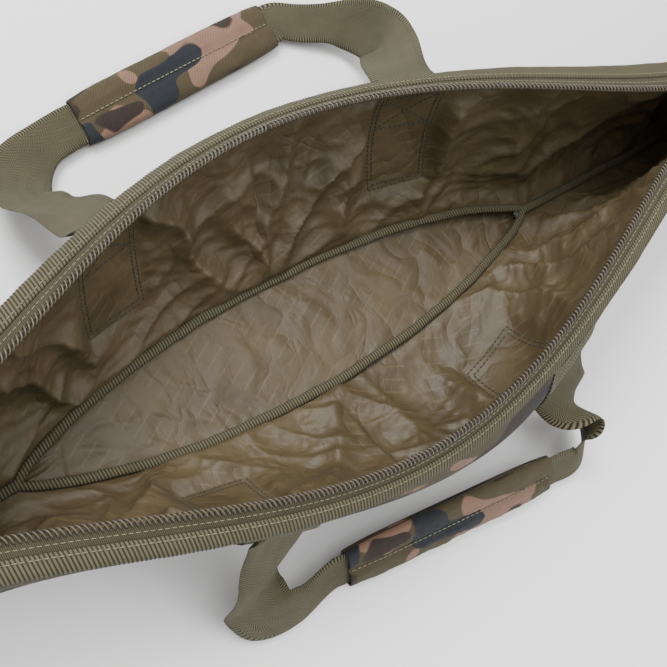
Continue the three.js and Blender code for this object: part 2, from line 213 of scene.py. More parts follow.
def cloth(name, points, uv, thickness, material, keep=slice(None)):
    """A thin closed sheet around a grid of points; keep picks the rows that are made."""
    normals = grid_normals(points)[keep]
    points, uv = points[keep], uv[keep]
    rows, columns = points.shape[:2]
    top = (points + normals * thickness / 2).reshape(-1, 3)
    under = (points - normals * thickness / 2).reshape(-1, 3)
    count = rows * columns
    faces = grid_faces(rows, columns) + grid_faces(rows, columns, start=count, flip=True)
    rim = [i * columns for i in range(rows)]
    rim += [(rows - 1) * columns + j for j in range(1, columns)]
    rim += [i * columns + columns - 1 for i in range(rows - 2, -1, -1)]
    rim += list(range(columns - 2, 0, -1))
    for a, b in zip(rim, rim[1:] + rim[:1]):
        faces.append((a, b, b + count, a + count))
    both_uv = np.tile(uv.reshape(-1, 2), (2, 1))
    piece = make_object(name, np.concatenate([top, under]), faces, both_uv, material)
    outward = np.concatenate([normals.reshape(-1, 3), -normals.reshape(-1, 3)])
    if piece_is_inside_out(piece):
        piece.data.flip_normals()
    piece.data.normals_split_custom_set_from_vertices((outward * face_sense(piece, outward)).tolist())
    return piece


def piece_is_inside_out(piece):
    mesh = piece.data
    mesh.calc_loop_triangles()
    corners = np.zeros(len(mesh.vertices) * 3, np.float32)
    mesh.vertices.foreach_get("co", corners)
    corners = corners.reshape(-1, 3).astype(float)
    triangles = np.zeros(len(mesh.loop_triangles) * 3, int)
    mesh.loop_triangles.foreach_get("vertices", triangles)
    a, b, c = (corners[triangles.reshape(-1, 3)[:, k]] for k in range(3))
    return float(np.einsum("ij,ij->i", a, np.cross(b, c)).sum()) < 0


def face_sense(piece, outward):
    """1 if the first face looks along its vertices' outward direction, or -1."""
    face = piece.data.polygons[0]
    return 1.0 if float(np.dot(np.array(face.normal), outward[face.vertices[0]])) > 0 else -1.0


def tube(name, rings, uv, material):
    """A closed tube through rings of points, with flat ends."""
    rows, columns = rings.shape[:2]
    faces = grid_faces(rows, columns, wrap=True)
    faces.append(tuple(range(columns))[::-1])
    faces.append(tuple((rows - 1) * columns + j for j in range(columns)))
    piece = make_object(name, rings.reshape(-1, 3), faces, uv.reshape(-1, 2), material)
    if piece_is_inside_out(piece):
        piece.data.flip_normals()
    return piece


# ---- materials ----
class Shader:
    """One Principled material and short ways to build its node tree on the cloth UVs."""

    def __init__(self, name, roughness=0.8, metallic=0.0, specular=0.5, sheen=0.0):
        self.material = bpy.data.materials.new(name)
        self.material.use_nodes = True
        self.tree = self.material.node_tree
        self.surface = self.tree.nodes["Principled BSDF"]
        self.surface.inputs["Roughness"].default_value = roughness
        self.surface.inputs["Metallic"].default_value = metallic
        self.surface.inputs["Specular IOR Level"].default_value = specular
        self.surface.inputs["Sheen Weight"].default_value = sheen
        self.surface.inputs["Sheen Roughness"].default_value = 0.4
        self.uv = self.node("ShaderNodeTexCoord").outputs["UV"]

    def node(self, kind, **settings):
        made = self.tree.nodes.new(kind)
        for key, value in settings.items():
            setattr(made, key, value)
        return made

    def link(self, source, target):
        if isinstance(source, (int, float, tuple)):
            target.default_value = source
        else:
            self.tree.links.new(source, target)

    def math(self, operation, a, b=0.0, c=0.0):
        made = self.node("ShaderNodeMath", operation=operation)
        for source, target in zip((a, b, c), made.inputs):
            self.link(source, target)
        return made.outputs[0]

    def scaled(self, x, y, turn=0.0):
        made = self.node("ShaderNodeMapping")
        made.inputs["Scale"].default_value = (x, y, 1)
        made.inputs["Rotation"].default_value = (0, 0, turn)
        self.link(self.uv, made.inputs["Vector"])
        return made.outputs[0]

    def noise(self, vector, scale, detail=3.0, rough=0.55, distortion=0.0):
        made = self.node("ShaderNodeTexNoise")
        made.inputs["Scale"].default_value = scale
        made.inputs["Detail"].default_value = detail
        made.inputs["Roughness"].default_value = rough
        made.inputs["Distortion"].default_value = distortion
        self.link(vector, made.inputs["Vector"])
        return made.outputs["Fac"]

    def wave(self, vector, pitch, direction="X", distortion=0.0):
        """Ridges a pitch apart, in millimetres, on unscaled cloth UVs."""
        made = self.node("ShaderNodeTexWave", bands_direction=direction)
        made.inputs["Scale"].default_value = math.pi / 10 / (pitch * MM)
        made.inputs["Distortion"].default_value = distortion
        made.inputs["Detail"].default_value = 0
        self.link(vector, made.inputs["Vector"])
        return made.outputs["Fac"]

    def ramp(self, value, stops):
        made = self.node("ShaderNodeValToRGB")
        elements = made.color_ramp.elements
        while len(elements) < len(stops):
            elements.new(0.5)
        for element, (place, color) in zip(elements, stops):
            element.position = place
            element.color = (*color, 1) if isinstance(color, tuple) else (color, color, color, 1)
        self.link(value, made.inputs[0])
        return made.outputs[0]

    def mix(self, share, a, b, blend="MIX"):
        made = self.node("ShaderNodeMix", data_type="RGBA", blend_type=blend)
        self.link(share, made.inputs[0])
        self.link((*a, 1) if isinstance(a, tuple) else a, made.inputs[6])
        self.link((*b, 1) if isinstance(b, tuple) else b, made.inputs[7])
        return made.outputs[2]

    def bump(self, height, depth, strength=1.0, under=None):
        made = self.node("ShaderNodeBump")
        made.inputs["Distance"].default_value = depth * MM
        made.inputs["Strength"].default_value = strength
        self.link(height, made.inputs["Height"])
        if under is not None:
            self.link(under, made.inputs["Normal"])
        return made.outputs[0]

    def finish(self, color, normal=None, roughness=None):
        self.link(color, self.surface.inputs["Base Color"])
        if normal is not None:
            self.link(normal, self.surface.inputs["Normal"])
        if roughness is not None:
            self.link(roughness, self.surface.inputs["Roughness"])
        return self.material


OLIVE = (0.074, 0.058, 0.031)
TAN = (0.235, 0.140, 0.098)
CHARCOAL = (0.022, 0.025, 0.030)
BARK = (0.036, 0.025, 0.020)


def twill(shader, pitch):
    """Fine diagonal weave: slanted ridges crossed by finer ones."""
    slanted = shader.wave(shader.scaled(1, 1, math.radians(38)), pitch)
    crossed = shader.wave(shader.scaled(1, 1, math.radians(-52)), pitch * 0.62)
    return shader.math("ADD", slanted, shader.math("MULTIPLY", crossed, 0.6))


def camo_material(name, patch, shift):
    shader = Shader(name, roughness=0.82, specular=0.22, sheen=0.03)
    moved = shader.node("ShaderNodeVectorMath", operation="ADD")
    shader.link(shader.scaled(0.72, 1.0), moved.inputs[0])
    moved.inputs[1].default_value = (shift, shift * 0.7, 0)
    place = moved.outputs[0]

    def patches(scale, offset, level):
        slid = shader.node("ShaderNodeVectorMath", operation="ADD")
        shader.link(place, slid.inputs[0])
        slid.inputs[1].default_value = (offset, offset * 1.7, 0)
        value = shader.noise(
            slid.outputs[0], scale / (patch * MM), detail=1.2, rough=0.35, distortion=0.35)
        return shader.ramp(value, [(level - 0.006, 0.0), (level + 0.006, 1.0)])

    color = shader.mix(patches(1.0, 0.31, 0.56), OLIVE, TAN)
    color = shader.mix(patches(1.05, 0.83, 0.575), color, BARK)
    color = shader.mix(patches(0.9, 1.47, 0.585), color, CHARCOAL)
    weave = twill(shader, 1.15)
    # Painted shade: the colour darkens towards black in the twill's grooves, to 0.42 at the lowest.
    color = shader.mix(shader.ramp(weave, [(0.1, 0.42), (0.8, 1.0)]), (0, 0, 0), color)
    wear = shader.noise(shader.uv, 60, detail=4)
    color = shader.mix(0.35, color, shader.ramp(wear, [(0.3, 0.7), (0.75, 1.15)]), "MULTIPLY")
    return shader.finish(color, shader.bump(weave, 0.35, 0.8))


def lining_material():
    shader = Shader("lining_nylon", roughness=0.5, specular=0.36, sheen=0.02)
    base = shader.noise(shader.uv, 22, detail=5, rough=0.6, distortion=0.4)
    color = shader.ramp(base, [
        (0.3, (0.052, 0.037, 0.017)), (0.55, (0.074, 0.054, 0.026)), (0.8, (0.098, 0.074, 0.038)),
    ])
    # Plain tone-on-tone dashes in slanted rows stand for the lining's print.
    rows = shader.wave(shader.scaled(1, 1, math.radians(60)), 9)
    breaks = shader.wave(shader.scaled(1, 1, math.radians(-30)), 31)
    dash = shader.math(
        "MULTIPLY",
        shader.ramp(rows, [(0.94, 0.0), (0.975, 1.0)]),
        shader.ramp(breaks, [(0.4, 0.0), (0.45, 1.0)]),
    )
    color = shader.mix(shader.math("MULTIPLY", dash, 0.35), color, (0.125, 0.098, 0.055))
    grid = shader.math("ADD", shader.wave(shader.uv, 0.6), shader.wave(shader.uv, 0.6, "Y"))

    def crumple(scale, distortion, stretch):
        """Sharp-backed crumples: noise folded about its middle."""
        value = shader.noise(
            shader.scaled(1, stretch, 0.5), scale, detail=2.5, rough=0.45, distortion=distortion)
        folded = shader.math("ABSOLUTE", shader.math("SUBTRACT", value, 0.5))
        return shader.math("POWER", shader.math("MULTIPLY", folded, 2.0), 0.8)

    large, small = crumple(30, 0.9, 0.7), crumple(95, 0.7, 0.8)
    normal = shader.bump(large, 4.0, 0.5)
    normal = shader.bump(small, 1.0, 0.32, normal)
    normal = shader.bump(grid, 0.06, 0.5, normal)
    gloss = shader.ramp(base, [(0.3, 0.42), (0.7, 0.56)])
    return shader.finish(color, normal, gloss)


def ribbed_material(name, pitch, dark, light, direction="X"):
    shader = Shader(name, roughness=0.8, specular=0.25, sheen=0.03)
    ribs = shader.wave(shader.uv, pitch, direction)
    threads = shader.wave(shader.uv, 0.5, "Y" if direction == "X" else "X")
    # Painted shade and highlight: the colour is dark in the rib valleys and light on the rib crests,
    # following the bump.
    color = shader.ramp(ribs, [(0.05, dark), (0.75, light)])
    tone = shader.noise(shader.uv, 90, detail=4)
    color = shader.mix(0.5, color, shader.ramp(tone, [(0.25, 0.72), (0.75, 1.2)]), "MULTIPLY")
    height = shader.math("ADD", ribs, shader.math("MULTIPLY", threads, 0.25))
    return shader.finish(color, shader.bump(height, 0.35, 0.7))


def webbing_material():
    """Chevron rows of slanted threads in the middle, straight ribs along both edges."""
    shader = Shader("webbing_weave", roughness=0.85, specular=0.22, sheen=0.03)
    split = shader.node("ShaderNodeSeparateXYZ")
    shader.link(shader.uv, split.inputs[0])
    row = 5.2 * MM
    zigzag = shader.math("PINGPONG", split.outputs[1], row)
    slanted = shader.math("ADD", split.outputs[0], shader.math("MULTIPLY", zigzag, 0.9))
    combined = shader.node("ShaderNodeCombineXYZ")
    shader.link(slanted, combined.inputs[0])
    shader.link(split.outputs[1], combined.inputs[1])
    chevron = shader.wave(combined.outputs[0], 1.5)
    picks = shader.wave(shader.uv, 0.95, "Y")
    body = shader.math("ADD", chevron, shader.math("MULTIPLY", picks, 0.45))
    from_middle = shader.math("ABSOLUTE", split.outputs[1])
    edge = shader.math("GREATER_THAN", from_middle, (WEBBING_WIDTH / 2 - 4.6) * MM)
    ribs = shader.math("MULTIPLY", shader.wave(shader.uv, 1.7), 1.3)
    height = shader.mix(edge, body, ribs)
    # Painted shade and highlight: the colour is darkest in the grooves between threads and ribs and
    # lightest on their tops, following the bump height.
    color = shader.ramp(height, [
        (0.12, (0.014, 0.013, 0.007)), (0.62, (0.070, 0.064, 0.036)), (1.0, (0.118, 0.106, 0.062)),
    ])
    tone = shader.noise(shader.uv, 45, detail=4)
    color = shader.mix(0.5, color, shader.ramp(tone, [(0.25, 0.75), (0.75, 1.2)]), "MULTIPLY")
    return shader.finish(color, shader.bump(height, 0.5, 0.9))


def coil_material():
    shader = Shader("coil_nylon", roughness=0.38, specular=0.5)
    tone = shader.noise(shader.uv, 200, detail=3)
    color = shader.ramp(tone, [(0.3, (0.050, 0.040, 0.028)), (0.7, (0.090, 0.074, 0.052))])
    return shader.finish(color, shader.bump(tone, 0.1, 0.3))


def thread_material(name, roughness, sheen, dark, light):
    shader = Shader(name, roughness=roughness, sheen=sheen)
    twist = shader.noise(shader.uv, 900, detail=2)
    color = shader.ramp(twist, [(0.3, dark), (0.7, light)])
    return shader.finish(color, shader.bump(twist, 0.15, 0.5))


def foam_material():
    shader = Shader("grip_foam", roughness=0.95, specular=0.2)
    cells = shader.noise(shader.uv, 1200, detail=4)
    color = shader.ramp(cells, [(0.3, 0.012), (0.7, 0.03)])
    return shader.finish(color, shader.bump(cells, 0.3, 0.7))


def metal_material():
    shader = Shader("gunmetal", roughness=0.34, metallic=1.0)
    place = shader.node("ShaderNodeTexCoord").outputs["Object"]
    brushed = shader.noise(place, 900, detail=3)
    color = shader.ramp(brushed, [(0.3, (0.045, 0.046, 0.048)), (0.75, (0.085, 0.085, 0.083))])
    roughness = shader.ramp(shader.noise(place, 160, detail=4), [(0.3, 0.28), (0.7, 0.46)])
    return shader.finish(color, shader.bump(brushed, 0.03, 0.4), roughness)


CAMO = camo_material("camo_body", 42, 0.10)
GRIP_CAMO = camo_material("camo_grip", 30, 0.43)
LINING = lining_material()
BINDING = ribbed_material("binding_grosgrain", RIB_PITCH, (0.016, 0.014, 0.008), (0.100, 0.088, 0.050))
TAPE = ribbed_material("zip_tape_weave", 0.9, (0.026, 0.022, 0.012), (0.070, 0.060, 0.034))
WEBBING = webbing_material()
COIL = coil_material()
THREAD = thread_material("stitch_thread", 0.7, 0.2, (0.10, 0.098, 0.052), (0.20, 0.195, 0.12))
DARK_THREAD = thread_material(
    "lining_thread", 0.75, 0.1, (0.020, 0.020, 0.011), (0.045, 0.042, 0.024))
FOAM = foam_material()
METAL = metal_material()


# ---- where the case is sampled along its length ----
def stations(fine, coarse):
    """x from butt to tip, fine over the mouth and always with a station at 0."""
    mouth = np.arange(0, MOUTH_HALF, fine)
    tip = np.concatenate([mouth, np.arange(MOUTH_HALF, TIP_X, coarse), [TIP_X]])
    butt = np.concatenate([mouth, np.arange(MOUTH_HALF, -BUTT_X, coarse), [-BUTT_X]])
    return np.concatenate([-butt[:0:-1], tip])


def halves(x):
    """Row ranges of the butt half and the tip half, which share the station at 0."""
    middle = int(np.argmin(np.abs(x)))
    return (("butt", -1, slice(0, middle + 1)), ("tip", 1, slice(middle, len(x))))


def bend(piece, wall, toward):
    """Bakes the piece's placement into its mesh."""
    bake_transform(piece)


def arc_uv(points, x):
    """Cloth coordinates: x along, and the length up the wall across."""
    steps = np.linalg.norm(np.diff(points[..., 1:], axis=1), axis=-1)
    up = np.concatenate([np.zeros((len(x), 1)), np.cumsum(steps, axis=1)], axis=1)
    return np.stack(np.broadcast_arrays(x[:, None], up), axis=-1)


# ---- shells and linings ----
BOX_LOW, BOX_HIGH = 0.34, 0.93     # where the stitched handle patches sit up the wall


def patch_share(x, v):
    """1 on the stitched handle patches, fading out around them."""
    beside = ease((WEBBING_WIDTH / 2 + 9 - np.abs(np.abs(x) - ANCHOR_X)) / 9)
    return beside * ease((v - BOX_LOW + 0.08) / 0.08) * ease((BOX_HIGH + 0.06 - v) / 0.06)


def lining_folds(x, v, seed):
    """How far the loose lining stands into the case, in millimetres."""
    up = v * WALL_RUN
    lean = np.where(x < 0, 0.55, -0.5) * up
    bend = 14 * ripple(x / 60 + seed, up / 50)
    big = creases((x + lean + bend) / 62 + seed, up / 150 + seed * 1.7)
    middle = creases((x - up * 0.7 + bend) / 40 + seed * 2.3, (up + x * 0.2) / 46 + seed)
    fine = creases((x * 0.6 + up) / 19 + seed, (up - x * 0.4) / 15 + seed * 3.1)
    loose = np.sin(np.pi * np.clip(v, 0, 1)) ** 0.6
    return loose * (1 - 0.93 * patch_share(x, v)) * (12.0 * big + 5.0 * middle + 1.5 * fine)


def make_walls(name, side):
    x = stations(2.2, 7.0)
    v = np.linspace(0, 1, 66)[None, :]
    column = x[:, None]
    lining = wall_point(column, v, -1.0, side)
    seed = 2.1 if side < 0 else 7.4
    into = lining_folds(column, v, seed)
    into = into * np.interp(np.abs(column), [0, 330, 450], [1, 1, 0.4])
    toward_inside = np.clip(lining[..., 1] - 1.5, 0, None)
    lining[..., 1] -= np.minimum(into, toward_inside * 0.8)
    coarse_v = np.linspace(0, 1, 40)[None, :]
    shell = wall_point(column, coarse_v, 1.0, side)
    shell[..., 1] += 0.8 * np.sin(np.pi * coarse_v) * ripple(column / 30, coarse_v * 4 + seed)
    for end, toward, rows in halves(x):
        # The camouflage shell hides the foam, and stands for it where the CAD model has a single gore.
        outside = cloth(
            f"{name}_{end}_shell", fold_open(shell, side), arc_uv(shell, x), 1.0, CAMO, rows)
        inside = cloth(
            f"{name}_{end}_lining", fold_open(lining, side), arc_uv(lining, x), 0.6, LINING, rows)
        bend(outside, f"{name}_wall", toward)
        bend(inside, f"{name}_wall", toward)
        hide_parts(f"{name}_{end}_gore", f"{name}_{end}_sleeve")
        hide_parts(f"{name}_{end}_sleeve_lining")
        if end == "butt":
            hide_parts(f"{name}_wall_shell", f"{name}_wall_foam")
            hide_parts(f"{name}_wall_lining")
    return lambda at_x, at_v: lining_surface(at_x, at_v, side, seed)


def lining_surface(x, v, side, seed):
    """Points just proud of the lining, for stitches."""
    points = wall_point(x, v, -1.0, side)
    room = np.clip(points[..., 1] - 1.5, 0, None) * 0.8
    points[..., 1] -= np.minimum(lining_folds(x, v, seed), room) + 0.5
    return fold_open(points, side)


# ---- stitches ----
def stitch_row(route, length=2.7, gap=1.0, radius=0.36):
    """Rounded stitches along a route of points, as vertices and faces."""
    steps = np.linalg.norm(np.diff(route, axis=0), axis=1)
    reach = np.concatenate([[0], np.cumsum(steps)])
    starts = np.arange(0, reach[-1] - length, length + gap)

    def at(distance):
        return np.stack([np.interp(distance, reach, route[:, k]) for k in range(3)], axis=-1)

    vertices, faces = [], []
    for start in starts:
        a, b = at(start), at(start + length)
        along = (b - a) / max(np.linalg.norm(b - a), 1e-6)
        side = np.cross(along, [0.3, 0.5, 0.8])
        side /= np.linalg.norm(side)
        over = np.cross(along, side)
        base = len(vertices)
        for place, thick in ((0.0, 0.45), (0.25, 1.0), (0.75, 1.0), (1.0, 0.45)):
            for k in range(6):
                angle = k * math.pi / 3
                outward = math.cos(angle) * side + math.sin(angle) * over
                vertices.append(a + (b - a) * place + radius * thick * outward)
        faces += grid_faces(4, 6, start=base, wrap=True)
        faces += [tuple(base + k for k in range(5, -1, -1)), tuple(base + 18 + k for k in range(6))]
    return np.array(vertices), faces


def make_stitches(name, routes, material, **sizes):
    vertices, faces = [], []
    for route in routes:
        points, polygons = stitch_row(np.asarray(route, float), **sizes)
        if not len(points):
            continue
        start = sum(len(block) for block in vertices)
        vertices.append(points)
        faces += [tuple(index + start for index in polygon) for polygon in polygons]
    points = np.concatenate(vertices)
    return make_object(name, points, faces, points[:, :2], material)


def make_box_stitches(name, side, surface):
    """A double box and a cross through the lining behind each sewn handle end."""
    half = WEBBING_WIDTH / 2
    for end, toward in ENDS:
        middle = toward * ANCHOR_X
        routes = []

        def line(x0, v0, x1, v1):
            t = np.linspace(0, 1, 60)
            routes.append(surface(middle + x0 + (x1 - x0) * t, v0 + (v1 - v0) * t))

        for inset, rise in ((0, 0), (3.0, 0.028)):
            low, high, wide = BOX_LOW + rise, BOX_HIGH - rise, half - inset
            line(-wide, low, wide, low)
            line(wide, low, wide, high)
            line(wide, high, -wide, high)
            line(-wide, high, -wide, low)
        split = BOX_LOW + 0.62 * (BOX_HIGH - BOX_LOW)
        line(-half, split, half, split)
        line(-half + 3, split, half - 3, BOX_HIGH - 0.03)
        line(half - 3, split, -half + 3, BOX_HIGH - 0.03)
        piece = make_stitches(
            f"{name}_box_stitches_{end}", routes, DARK_THREAD, length=2.6, gap=0.8, radius=0.55)
        bend(piece, f"{name}_wall", toward)


# ---- binding, tape and coil along each mouth edge ----
BINDING_IN, BINDING_OUT = 12.6, 25.4


def make_binding(name, side):
    """Ribbed fabric folded over the raw edges, as a flattened tube with real ribs."""
    rib_step = RIB_PITCH / 4
    x = np.arange(BUTT_X, TIP_X, rib_step)
    x = np.sort(np.append(x[np.abs(x) > rib_step / 2], 0.0))
    section = np.array([
        (BINDING_IN, 125.3), (BINDING_IN + 1.2, 126.1), (17.0, 126.35), (20.5, 126.3), (23.6, 125.7),
        (BINDING_OUT, 123.7), (24.4, 121.9), (21.5, 121.2), (17.0, 121.9), (BINDING_IN + 1.0, 123.2),
    ])
    centre = section.mean(axis=0)
    outward = (section - centre) / np.linalg.norm(section - centre, axis=1, keepdims=True)
    rib = 0.28 * np.cos(2 * np.pi * x / RIB_PITCH)
    wobble = 0.45 * ripple(x / 17, 0.5) + 0.8 * ripple(x / 60, 4.5)
    swell = rib[:, None] + 0.25 * ripple(x[:, None] / 9, np.arange(10)[None, :] * 0.6)
    rings = np.empty((len(x), len(section), 3))
    rings[..., 0] = x[:, None]
    rings[..., 1] = section[:, 0] + outward[:, 0] * swell
    rings[..., 2] = section[:, 1] + outward[:, 1] * swell
    rings[:, 3:8, 1] += (wobble * 0.8)[:, None]
    across = np.cumsum(np.concatenate([[0], np.linalg.norm(np.diff(section, axis=0), axis=1)]))
    uv = np.stack(np.broadcast_arrays(x[:, None], across[None, :]), axis=-1)
    for end, toward, rows in halves(x):
        piece = tube(f"{name}_{end}_binding", fold_open(rings[rows], side), uv[rows], BINDING)
        bend(piece, f"{name}_wall", toward)
        if end == "butt":
            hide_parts(f"{name}_mouth_binding")


def make_tape(name, side):
    x = stations(2.0, 6.0)
    y = np.array([16.0, 13.0, 11.4, 9.6, 8.2, 6.6, 4.2])
    z = np.array([124.2, 124.4, 124.9, 124.6, 124.8, 124.5, 124.0])
    closed = np.stack(np.broadcast_arrays(x[:, None], y[None, :], z[None, :]), axis=-1).copy()
    closed[..., 2] += 0.25 * ripple(x[:, None] / 22, y[None, :] / 4)
    uv = np.stack(np.broadcast_arrays(x[:, None], y[None, :]), axis=-1)
    for end, toward, rows in halves(x):
        piece = cloth(f"{name}_{end}_zip_tape", fold_open(closed, side), uv, 0.7, TAPE, rows)
        bend(piece, f"{name}_wall", toward)
        if end == "butt":
            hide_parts(f"{name}_mouth_zip_tape")


def make_coil(name, side):
    """The nylon filament, wound as a flattened helix through each tape's edge."""
    per_turn = 12
    wire, half_width, half_height = 0.62, 2.15, 1.55
    phase = 0.0 if side < 0 else COIL_PITCH / 2
    for end, toward in ENDS:
        length = TIP_X if toward > 0 else -BUTT_X
        turns = int(length / COIL_PITCH)
        t = np.arange(turns * per_turn + 1) / per_turn
        x = toward * (t * COIL_PITCH + phase * 0.5)
        angle = 2 * np.pi * t
        lean = 0.55 * np.sin(angle)
        middle = np.stack([x, np.full_like(x, COIL_Y), np.full_like(x, COIL_Z + 0.5)], axis=-1)
        swing = np.stack([lean, half_width * np.cos(angle), half_height * np.sin(angle)], axis=-1)
        centre = middle + swing
        tangent = np.gradient(centre, axis=0)
        tangent /= np.linalg.norm(tangent, axis=1, keepdims=True)
        outward = centre - middle
        outward -= tangent * np.einsum("ij,ij->i", outward, tangent)[:, None]
        outward /= np.linalg.norm(outward, axis=1, keepdims=True)
        beside = np.cross(tangent, outward)
        rings = np.stack([
            centre + wire * (math.cos(a) * outward + math.sin(a) * beside)
            for a in np.arange(5) * 2 * math.pi / 5
        ], axis=1)
        rings[..., 1] = np.maximum(rings[..., 1], 0.25)
        uv = np.stack(np.broadcast_arrays(x[:, None], np.arange(5)[None, :]), axis=-1)
        piece = tube(f"{name}_{end}_zip_coil", fold_open(rings, side), uv, COIL)
        bend(piece, f"{name}_wall", toward)
        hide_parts(f"{name}_{end}_zip", f"{name}_{end}_gore_zip")
        if end == "butt":
            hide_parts(f"{name}_mouth_zip_coil")


def make_edge_stitches(name, side):
    for end, toward in ENDS:
        length = MOUTH_HALF + 60
        x = toward * np.arange(0, length, 1.0)
        routes = []
        for y, z in ((BINDING_IN + 2.6, 126.55), (9.0, 125.2)):
            closed = np.stack([x, np.full_like(x, y), np.full_like(x, z)], axis=-1)
            routes.append(fold_open(closed, side))
        piece = make_stitches(
            f"{name}_{end}_edge_stitches", routes, THREAD, length=2.6, gap=0.9, radius=0.28)
        bend(piece, f"{name}_wall", toward)


# ---- the floor of the reel bay ----
def foot_line(x, side, rise=0.0):
    """Where a wall's lower edge lies at rest."""
    points = fold_open(wall_point(x, np.zeros_like(x), 0.0, side), side)
    points[..., 2] += rise
    return points


def make_gusset():
    x = np.arange(-LENS_HALF_LENGTH, LENS_HALF_LENGTH + 0.1, 3.0)
    share = np.linspace(-1, 1, 34)[None, :]
    near, far = foot_line(x, -1), foot_line(x, 1)
    top = near[:, None] * (1 - share[..., None]) / 2 + far[:, None] * (1 + share[..., None]) / 2
    under = top.copy()
    hollow = (1 - share ** 2) ** 0.5
    dome = 1.6 * creases(x[:, None] / 40, share * 1.1 + 5) + 0.8 * ripple(x[:, None] / 18, share * 2.2)
    top[..., 2] = 4.8 + (top[..., 2] - 4.8) * np.abs(share) ** 6 + dome * hollow
    under[..., 2] = 0.7 + (under[..., 2] - 0.7) * np.abs(share) ** 10
    uv = top[..., :2]
    lining = cloth("gusset_lining", top, uv, 0.6, LINING)
    shell = cloth("gusset_shell", under, uv, 0.9, CAMO)
    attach(lining, "base")
    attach(shell, "base")
    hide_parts("reel_gusset_lining", "reel_gusset_foam")
    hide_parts("reel_gusset_shell")


def make_seam_bindings():
    """Bound seams along the gusset, meeting in a Y and running on along the sleeves."""
    def run(name, x, line, *nodes):
        points = line(x)
        width, height = 3.3, 1.7
        rib = 1 + 0.05 * np.cos(2 * np.pi * x / RIB_PITCH)
        rings = []
        for k in range(10):
            angle = 2 * math.pi * k / 10
            shift = np.zeros_like(points)
            shift[:, 1] = width * math.cos(angle) * rib + 0.8 * ripple(x / 26, 9.5)
            shift[:, 2] = height * math.sin(angle) * rib + 1.3 + 0.5 * ripple(x / 19, 2.5)
            rings.append(points + shift)
        rings = np.stack(rings, axis=1)
        uv = np.stack(np.broadcast_arrays(x[:, None], np.arange(10)[None, :] * 1.2), axis=-1)
        piece = tube(name, rings, uv, BINDING)
        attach(piece, "base")
        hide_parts(*nodes)

    reach = LENS_HALF_LENGTH + 6
    gusset = np.arange(-reach, reach, 0.8)
    for name, side in SIDES:
        def beside(x, side=side):
            points = foot_line(x, side, 1.6)
            points[..., 1] -= side * 1.5
            return points
        run(f"{name}_gusset_binding", gusset, beside, f"{name}_gusset_seam_binding")
    for end, toward in ENDS:
        stop = (TIP_X if toward > 0 else -BUTT_X) - 6
        along = toward * np.arange(reach - 8, stop, 0.8)

        def single(x):
            points = foot_line(x, 1, 1.8)
            points[..., 1] = 0.0
            return points
        run(f"{end}_seam_binding_inside", along, single, f"{end}_seam_binding")


# ---- end panels ----
def make_end_panels():
    for end, toward in ENDS:
        x = TIP_X if toward > 0 else BUTT_X
        v = np.linspace(0, 1, 40)
        side = wall_point(np.full_like(v, x), v, 1.0, 1)[:, 1:]
        outline = np.concatenate([side, side[::-1] * [-1, 1]])
        outline = outline[np.r_[True, np.linalg.norm(np.diff(outline, axis=0), axis=1) > 0.05]]
        centre = np.array([0, 62.0])
        rings, uv = [], []
        for share, depth in ((1.0, 0.4), (1.03, 1.6), (1.0, 3.2), (0.93, 4.1), (0.6, 4.7), (0.02, 4.9)):
            ring = centre + (outline - centre) * share
            ring[:, 1] = np.maximum(ring[:, 1], 0.8)
            rings.append(np.column_stack([np.full(len(ring), x + toward * depth), ring]))
            uv.append(ring)
        piece = tube(f"{end}_end_cover", np.array(rings), np.array(uv), CAMO)
        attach(piece, "base")
        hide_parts(f"{end}_end_panel")


# ---- carry handles ----
def smooth_route(points, count):
    """A centripetal Catmull-Rom curve through the points, evenly spaced."""
    points = np.asarray(points, float)
    padded = np.vstack([2 * points[0] - points[1], points, 2 * points[-1] - points[-2]])
    knots = np.concatenate([[0], np.cumsum(np.linalg.norm(np.diff(padded, axis=0), axis=1) ** 0.5)])
    dense = []
    for k in range(1, len(padded) - 2):
        t0, t1, t2, t3 = knots[k - 1:k + 3]
        t = np.linspace(t1, t2, 40, endpoint=False)[:, None]
        p0, p1, p2, p3 = padded[k - 1:k + 3]
        a1 = (t1 - t) / (t1 - t0) * p0 + (t - t0) / (t1 - t0) * p1
        a2 = (t2 - t) / (t2 - t1) * p1 + (t - t1) / (t2 - t1) * p2
        a3 = (t3 - t) / (t3 - t2) * p2 + (t - t2) / (t3 - t2) * p3
        b1 = (t2 - t) / (t2 - t0) * a1 + (t - t0) / (t2 - t0) * a2
        b2 = (t3 - t) / (t3 - t1) * a2 + (t - t1) / (t3 - t1) * a3
        dense.append((t2 - t) / (t2 - t1) * b1 + (t - t1) / (t2 - t1) * b2)
    dense = np.vstack([*dense, points[-1]])
    reach = np.concatenate([[0], np.cumsum(np.linalg.norm(np.diff(dense, axis=0), axis=1))])
    even = np.linspace(0, reach[-1], count)
    return np.stack([np.interp(even, reach, dense[:, k]) for k in range(3)], axis=1), even


# The lie of each handle: outward drift of its grip along x, tip of the grip's inner edge, and
# the webbing's middle line between the wall and the grip, (x, outwards, up).
HANDLES = {
    "near": {
        "drift": 0.15, "tip": math.radians(50), "swing": math.radians(12), "height": 19.4,
        "butt": [
            (-109, 95, 106), (-110, 101, 88), (-116, 112, 62),
            (-124, 126, 38), (-118, 142, 23), (-98, 147, 19),
        ],
        "tip_end": [
            (110, 95, 106), (111, 102, 88), (117, 116, 62),
            (130, 134, 42), (140, 156, 27), (128, 172, 20),
        ],
    },
    "far": {
        "drift": 0.11, "tip": 0.0, "swing": math.radians(35), "height": 7.4,
        "butt": [
            (-110, 95, 106), (-110, 101, 92), (-112, 120, 72),
            (-120, 140, 46), (-118, 164, 22), (-96, 183, 10),
        ],
        "tip_end": [
            (111, 95, 106), (113, 102, 99), (120, 118, 88), (140, 140, 66),
            (156, 162, 40), (150, 186, 18), (126, 201, 9),
        ],
    },
}


